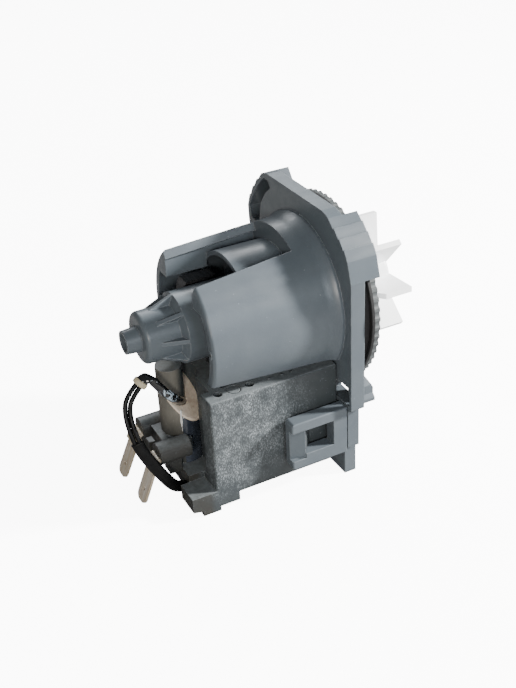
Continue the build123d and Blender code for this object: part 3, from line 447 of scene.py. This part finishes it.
def metal(name, tone, other, roughness, stretch=None):
    """Bare metal, with turning or drawing marks where the noise is stretched."""
    s = Shader(name)
    turned = s.noise(1500, 3, stretch=stretch)
    s.set(Base_Color=s.mix(s.scale(turned, 0.35, 0.65), tone, other), Metallic=1.0,
          Roughness=s.scale(turned, 0.3, 0.7, roughness, roughness + 0.15))
    s.bump([(turned, 0.008)], 0.15)
    return s


shaders = {
    "housing_plastic": housing(),
    "cover_plastic": plastic("cover_plastic", linear(74, 78, 80), linear(86, 90, 91), 0.48,
                             wear=linear(136, 139, 139), speckle=(linear(140, 144, 146), 0.02),
                             edge=0.2),
    "casing_plastic": casing(),
    "rubber": rubber(),
    "ceramic": plastic("ceramic", linear(215, 212, 203), linear(204, 200, 190), 0.3,
                       edge=0.15, grain=0.006),
    "shaft_steel": metal("shaft_steel", linear(190, 190, 188), linear(168, 168, 166), 0.22,
                         (1, 0.1, 0.1)),
    "carrier_plastic": plastic("carrier_plastic", linear(40, 41, 43), linear(52, 53, 54), 0.5),
    "ferrite": metal("ferrite", linear(62, 62, 64), linear(50, 50, 52), 0.5),
    "washer": plastic("washer", linear(176, 158, 122), linear(164, 146, 110), 0.4, edge=0.15),
    "impeller_plastic": plastic("impeller_plastic", linear(252, 253, 254), linear(247, 249, 250),
                                0.4, wear=linear(254, 254, 254), edge=0.2, grain=0.008),
    "lamination_steel": laminations(),
    "bobbin_plastic": plastic("bobbin_plastic", linear(224, 218, 202), linear(212, 206, 190),
                              0.45, edge=0.15),
    "copper": metal("copper", linear(186, 104, 62), linear(160, 82, 46), 0.3, (0.1, 0.1, 1)),
    "dark_resin": dark_resin(),
    "pale_resin": pale_resin(),
    "sleeve_plastic": glossy("sleeve_plastic", linear(8, 8, 10), linear(18, 19, 22), 0.1,
                             ripple=0.1, coat=1.0),
    "lead_plastic": glossy("lead_plastic", linear(7, 7, 8), linear(15, 15, 16), 0.34,
                           ripple=0.03, coat=0.0, shine=0.22),
    "pale_plastic": plastic("pale_plastic", linear(206, 196, 170), linear(188, 176, 148), 0.5,
                            wear=linear(222, 214, 194), edge=0.2),
    "tinned_brass": tin(),
    "glue": plastic("glue", linear(232, 231, 226), linear(200, 200, 198), 0.35,
                    edge=0.1, grain=0.03),
}
# Painted glow: the impeller's plastic emits a weak light, though it is no lamp, standing in for
# the light that passes through its milky plastic
shaders["impeller_plastic"].set(Emission_Color=(1, 1, 1, 1), Emission_Strength=0.8)
# Painted highlight: pale bluish crinkled streaks on the sleeve's lower half stand in for light
# reflected by the glossy sleeve
sleeve_look = shaders["sleeve_plastic"]
highlight_streaks = sleeve_look.noise(900, 4, stretch=(0.7, 1.6, 0.5), roughness=0.6)
painted_highlight = sleeve_look.times(sleeve_look.near(*SLEEVE_HIGHLIGHT), sleeve_look.scale(highlight_streaks, 0.5, 0.56))
sleeve_look.set(Base_Color=sleeve_look.mix(painted_highlight, sleeve_look.color(), linear(196, 212, 224)))


def dress(obj, look_name):
    """Gives an object its material."""
    obj.data.materials.clear()
    obj.data.materials.append(shaders[look_name].material)


MATERIAL_OF = {
    "housing_plastic": ("pump_housing", "latch_arm_near", "latch_arm_far"),
    "cover_plastic": ("front_cover",),
    "casing_plastic": ("stator_casing",),
    "rubber": ("face_seal", "cover_o_ring", "rear_bearing_mount", "front_bearing_mount",
               "coupling_buffer"),
    "ceramic": ("rear_bearing", "front_bearing", "thermal_cutout"),
    "shaft_steel": ("shaft",),
    "carrier_plastic": ("rotor_sleeve", "coupling_driver"),
    "ferrite": ("rotor_magnet",),
    "washer": ("rear_thrust_washer", "front_thrust_washer"),
    "impeller_plastic": ("impeller", "coupling_cap"),
    "lamination_steel": ("stator_pole_near", "stator_pole_far", "stator_yoke"),
    "bobbin_plastic": ("coil_bobbin_near", "coil_bobbin_far"),
    "copper": ("coil_winding_near", "coil_winding_far"),
    "dark_resin": ("potting",),
    "pale_resin": ("resin_cap",),
    "tinned_brass": ("terminal_blade_near", "terminal_blade_far"),
    "pale_plastic": ("terminal_collar_near", "terminal_collar_far"),
}
for slot, names in MATERIAL_OF.items():
    for name in names:
        dress(nodes[name], slot)


def mesh_piece(name, surface, slot, look_name=None, smooth=True):
    """Piece made of a surface's points and faces, in metres."""
    verts, faces = surface
    mesh = bpy.data.meshes.new(name)
    mesh.from_pydata([tuple(v) for v in verts], [], faces)
    built = bmesh.new()
    built.from_mesh(mesh)
    bmesh.ops.recalc_face_normals(built, faces=built.faces)
    built.to_mesh(mesh)
    built.free()
    for polygon in mesh.polygons:
        polygon.use_smooth = smooth
    obj = place(bpy.data.objects.new(name, mesh))
    dress(obj, look_name or slot)
    return obj


def skin(rings, closed_ends=True):
    """Points and faces of a surface through rings of points, all with the same count."""
    count = len(rings[0])
    verts = [p for ring in rings for p in ring]
    faces = []
    for i in range(len(rings) - 1):
        this, after = i * count, (i + 1) * count
        for j in range(count):
            k = (j + 1) % count
            faces.append((this + j, this + k, after + k, after + j))
    if closed_ends:
        faces.append(tuple(reversed(range(count))))
        faces.append(tuple(range((len(rings) - 1) * count, len(rings) * count)))
    return verts, faces


def oval_ring(centre, along, wide, half_width, half_height, count=28):
    """Ring of points round a centre, square to a direction and wider along another."""
    wide = (wide - along * wide.dot(along)).normalized()
    high = along.cross(wide)
    angles = [2 * math.pi * j / count for j in range(count)]
    return [centre + (wide * (half_width * math.cos(a)) + high * (half_height * math.sin(a))) * MM
            for a in angles]


def directions(points):
    """Unit direction of a line of points at each of them."""
    last = len(points) - 1
    return [(points[min(i + 1, last)] - points[max(i - 1, 0)]).normalized()
            for i in range(last + 1)]


for strand, route, length in strands:
    dress(strand, "lead_plastic")
line_a, line_b = (route_points(route) for strand, route, length in strands)
middles = [(a + b) / 2 for a, b in zip(line_a, line_b)]
widths = [(a - b).normalized() for a, b in zip(line_a, line_b)]

# Second sleeve over both strands, from a small step part way down the loop almost to the foot
wrap_from, wrap_to = (int(len(middles) * share) for share in WRAP_SPAN)
wrap_rings = []
flow = directions(middles)
for i in range(wrap_from, wrap_to):
    share = (i - wrap_from) / (wrap_to - 1 - wrap_from)
    wall = WRAP_WALL + WRAP_LIP * math.exp(-((share / 0.02) ** 2))
    spread = (line_a[i] - line_b[i]).length / MM / 2 + STRAND_RADIUS
    wrap_rings.append(oval_ring(middles[i], flow[i], widths[i], spread + wall,
                                STRAND_RADIUS + wall))
wrap = mesh_piece("lead_wrap", skin(wrap_rings), "lead_plastic")

# Glossy sleeve out of the column, shrunk flat towards its mouth, and the pale band at its end
sleeve_line = route_points(SLEEVE_ROUTE)
sleeve_flow = directions(sleeve_line)
mouth_wide = widths[0]
first_wide = Vector((0, 0, 1)).cross(sleeve_flow[0]).normalized()
if first_wide.dot(mouth_wide) < 0:
    first_wide = -first_wide
sleeve_rings = []
for i, (point, along) in enumerate(zip(sleeve_line, sleeve_flow)):
    share = i / (len(sleeve_line) - 1)
    flat = min(1.0, max(0.0, (share - 0.25) / 0.6))
    sleeve_rings.append(oval_ring(point, along, first_wide.lerp(mouth_wide, share),
                                  SLEEVE_RADIUS + MOUTH_WIDER * flat,
                                  SLEEVE_RADIUS - MOUTH_FLATTER * flat, 32))
sleeve = mesh_piece("sleeve", skin(sleeve_rings), "sleeve_plastic")
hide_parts("lead_sleeve")

# Distance from the sleeve's end and growth over it, in millimetres
BAND_PROFILE = ((-1.45, 0.1), (-1.3, 0.34), (-0.9, 0.42), (-0.2, 0.42), (0.2, 0.34), (0.35, 0.12))
end, along = sleeve_line[-1], sleeve_flow[-1]
band_rings = [oval_ring(end + along * offset * MM, along, mouth_wide,
                        SLEEVE_RADIUS + MOUTH_WIDER + grow,
                        SLEEVE_RADIUS - MOUTH_FLATTER + grow, 32)
              for offset, grow in BAND_PROFILE]
band = mesh_piece("band", skin(band_rings), "pale_plastic")
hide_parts("lead_band")


# Glue: pale runs down the seam between the column and its dark resin
def on_column(angle, z, out):
    """Point on the column's side, in metres."""
    a = math.radians(angle)
    radius = COLUMN_RADIUS + out
    return Vector((COLUMN_X + radius * math.cos(a), radius * math.sin(a), z)) * MM


def hump(share, middle, reach):
    """One at the middle, falling off to nothing."""
    return math.exp(-(((share - middle) / reach) ** 2))


def run_down(name, angle, top, bottom, width, seed):
    """Bead that runs down the column, thick at the top, thinner below, with a drop at its end."""
    chance = random.Random(seed)
    count = 26
    line = []
    sizes = []
    for i in range(count):
        share = i / (count - 1)
        sway = 3.0 * (math.sin(4.1 * share + seed) * 0.4 + chance.uniform(-0.08, 0.08))
        line.append(on_column(angle + sway, top + (bottom - top) * share, -0.1))
        drop = 0.5 * hump(share, 0.93, 0.07)
        lump = 0.35 * hump(share, 0.3, 0.12)
        girth = 1.0 - 0.72 * share + drop + lump + chance.uniform(-0.06, 0.06)
        tip = 0.35 if i in (0, count - 1) else 1
        sizes.append(width * girth * tip)
    outward = Vector((math.cos(math.radians(angle)), math.sin(math.radians(angle)), 0))
    side = outward.cross(Vector((0, 0, 1)))
    rings = [oval_ring(p, d, side, size, size * 0.45, 14)
             for p, d, size in zip(line, directions(line), sizes)]
    mesh_piece(name, skin(rings), "pale_resin", "glue")


run_down("glue_run", SEAM_ANGLE - 1, top=-25.6, bottom=-39.0, width=0.36, seed=3)
run_down("glue_run_short", SEAM_ANGLE + 5, top=-27.4, bottom=-31.0, width=0.24, seed=8)
run_down("glue_run_thin", SEAM_ANGLE + 2, top=-31.0, bottom=-45.0, width=0.15, seed=5)


def circle(radius, count):
    """Points of a circle, in its own plane."""
    angles = [2 * math.pi * j / count for j in range(count)]
    return [(radius * math.cos(a), radius * math.sin(a)) for a in angles]


def ring_about_x(name, x_from, x_to, inner, outer, slot, chamfer=0.1):
    """Flat-faced ring about the motor axis, its rear edge broken."""
    section = ((x_from, inner), (x_from, outer - chamfer), (x_from + chamfer, outer),
               (x_to, outer), (x_to, inner))
    rings = [[Vector((x, y, z)) * MM for y, z in circle(r, 192)] for x, r in section]
    rings.append(rings[0])
    mesh_piece(name, skin(rings, closed_ends=False), slot, smooth=False)


# Lip of the face seal over the rear of the cover's scalloped rim
ring_about_x("seal_lip", x_from=SEAL_THICKNESS - 0.2, x_to=SEAL_THICKNESS + 0.8,
             inner=COVER_RADIUS - 1.5, outer=COVER_RADIUS + 0.02, slot="rubber")


def disc(name, centre, normal, up, outline, height, slot):
    """Low raised mark: an outline in millimetres on a face, with a height and a broken edge."""
    centre, normal, up = Vector(centre), Vector(normal), Vector(up)
    across = up.cross(normal)
    rings = []
    for lift, shrink in ((-0.05, 1.0), (height * 0.7, 1.0), (height, 0.93)):
        rings.append([(centre + across * (u * shrink) + up * (v * shrink) + normal * lift) * MM
                      for u, v in outline])
    mesh_piece(name, skin(rings), slot)


# Ejector mark on the near wing's end face, with a small black disc in its middle: painted shade
# that stands for a small hole
half_wide, half_high = WING_MARK_HALF
d_shape = [(half_wide * math.cos(a), half_high * math.sin(a)) for a in
           (math.radians(-100 + 200 * i / 16) for i in range(17))] + [(-0.7, 1.3), (-0.7, -1.3)]
disc("wing_mark", (NEAR_WING_X, *WING_MARK_YZ), (-1, 0, 0), (0, 0, 1), d_shape, WING_MARK_HEIGHT,
     "housing_plastic")
disc("wing_mark_hole_shade", (NEAR_WING_X - WING_MARK_HEIGHT, *WING_MARK_YZ), (-1, 0, 0), (0, 0, 1),
     circle(WING_HOLE_RADIUS, 24), 0.02, "rubber")

# Small moulded dots on the casing's top, beside the round marks
for i, x in enumerate(TOP_DOT_X):
    for side, label in ((-1, "near"), (1, "far")):
        disc(f"top_dot_{label}_{i}", (x, side * TOP_DOT_Y, CASING_TOP_Z), (0, 0, 1), (0, 1, 0),
             circle(TOP_DOT_RADIUS, 24), TOP_DOT_HEIGHT, "casing_plastic")

floor_mesh = bpy.data.meshes.new("floor")
floor_mesh.from_pydata([(x * FLOOR_REACH, y * FLOOR_REACH, FLOOR_Z)
                        for x, y in ((-1, -1), (1, -1), (1, 1), (-1, 1))], [], [(0, 1, 2, 3)])
floor = bpy.data.objects.new("floor", floor_mesh)
bpy.context.scene.collection.objects.link(floor)
paper = Shader("paper")
# The sheet looks overexposed, as in the photograph, but throws only a little light on the pump
seen = paper.add("ShaderNodeLightPath").outputs["Is Camera Ray"]
pale = paper.mix(paper.noise(30, 3), (0.94, 0.945, 0.95), (0.97, 0.97, 0.975))
paper.set(Base_Color=paper.mix(seen, (0.3, 0.3, 0.3), pale), Roughness=0.8,
          Emission_Color=(1, 1, 1, 1), Emission_Strength=paper.times(seen, SEEN_BRIGHTNESS))
paper.bump([(paper.noise(900, 3), 0.01)], 0.1)
floor.data.materials.append(paper.material)
